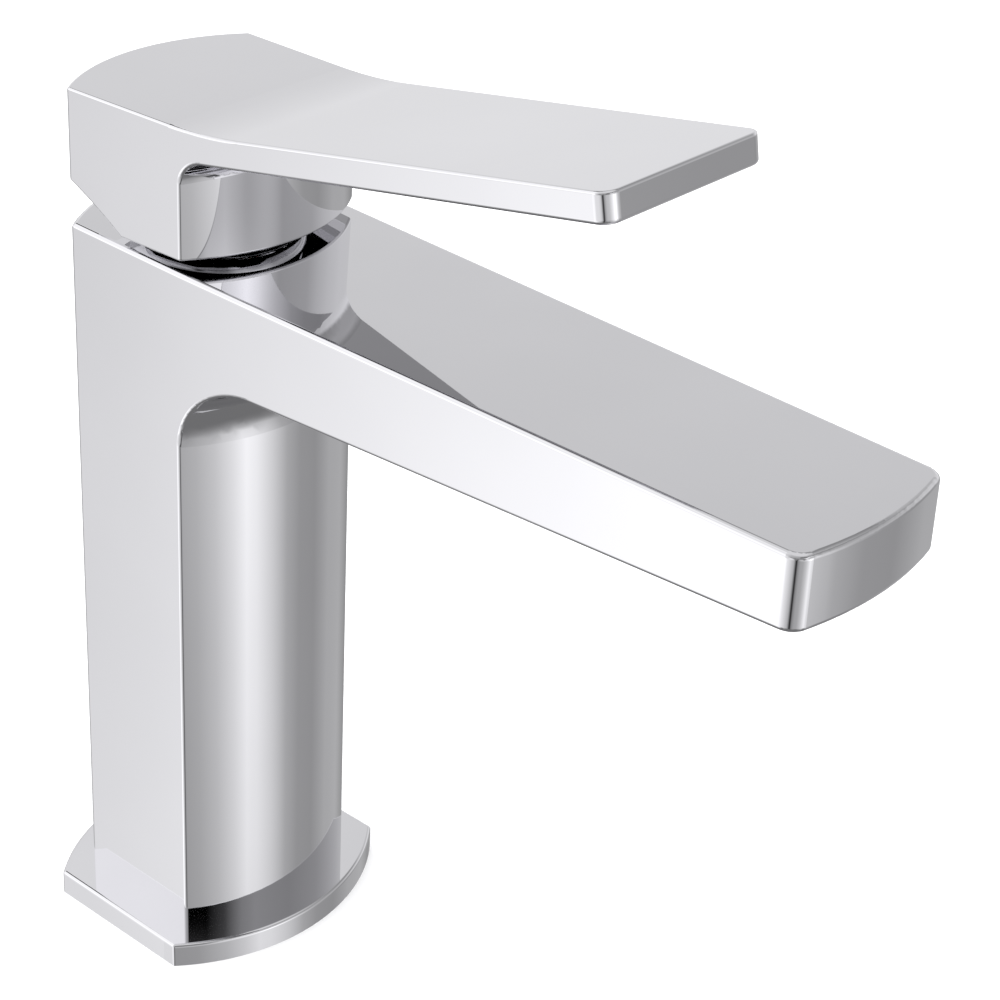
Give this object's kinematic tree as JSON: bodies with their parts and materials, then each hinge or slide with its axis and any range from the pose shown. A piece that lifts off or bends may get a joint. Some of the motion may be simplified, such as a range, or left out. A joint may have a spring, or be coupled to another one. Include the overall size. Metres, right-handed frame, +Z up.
{
  "type": "basin mixer faucet",
  "caption": "Deck-mounted single-lever basin mixer: barrel-shaped column on a thin base plate, flat forward spout, raised forward lever, ceramic disc cartridge and recessed aerator.",
  "frame": {"origin": "on the column's axis at the deck face, which is the underside of the base plate", "axes": "+Z up along the column, +X forward along the spout towards the user, +Y to the user's right, so the hot side is -Y"},
  "size_m": [0.1614, 0.052, 0.1746],
  "materials": {
    "chrome_body": "polished chrome plate on brass",
    "chrome_lever": "polished chrome plate on zinc",
    "chrome_trim": "polished chrome plate",
    "black_rubber": "moulded rubber",
    "grey_plastic": "moulded, satin",
    "pale_plastic": "moulded, satin",
    "white_plastic": "moulded, satin",
    "red_plastic": "moulded, satin",
    "index_plastic": "glossy, half red and half blue",
    "white_ceramic": "lapped ceramic",
    "dark_ceramic": "lapped ceramic",
    "brass": "turned brass",
    "steel": "stainless steel",
    "steel_mesh": "woven stainless steel"
  },
  "bodies": {
    "faucet_body": {"body_casting": "chrome_body", "base_flange": "chrome_body", "base_gasket": "black_rubber", "flange_seal": "black_rubber", "cartridge_base": "grey_plastic", "hot_port_seal": "black_rubber", "cold_port_seal": "black_rubber", "outlet_port_seal": "black_rubber", "fixed_disc": "white_ceramic", "cartridge_housing": "grey_plastic", "cartridge_nut": "brass", "limit_ring": "red_plastic", "trim_ring": "chrome_trim", "aerator_housing": "pale_plastic", "aerator_core": "pale_plastic", "aerator_mesh": "steel_mesh", "flow_regulator": "pale_plastic", "aerator_washer": "black_rubber"},
    "rotor": {"spindle_guide": "white_plastic", "pivot_pin": "steel"},
    "lever": {"lever_handle": "chrome_lever", "spindle": "brass", "grub_screw": "steel", "index_plug": "index_plastic"},
    "valve_slide": {"disc_carrier": "white_plastic", "moving_disc": "dark_ceramic"}
  },
  "joints": [
    {"name": "temperature_turn", "type": "hinge", "parent": "faucet_body", "child": "rotor", "pos_m": [0, 0, 0.131], "axis": [0, 0, 1], "range_deg": [-45, 45]},
    {"name": "flow_lift", "type": "hinge", "parent": "rotor", "child": "lever", "pos_m": [0, 0, 0.131], "axis": [0, -1, 0], "range_deg": [0, 22]},
    {"name": "disc_slide", "type": "slide", "parent": "rotor", "child": "valve_slide", "axis": [1, 0, 0], "range_m": [0, 0.0036]}
  ],
  "couplings": [
    {"joint": "disc_slide", "follows": "flow_lift", "m_per_rad": 0.009}
  ]
}
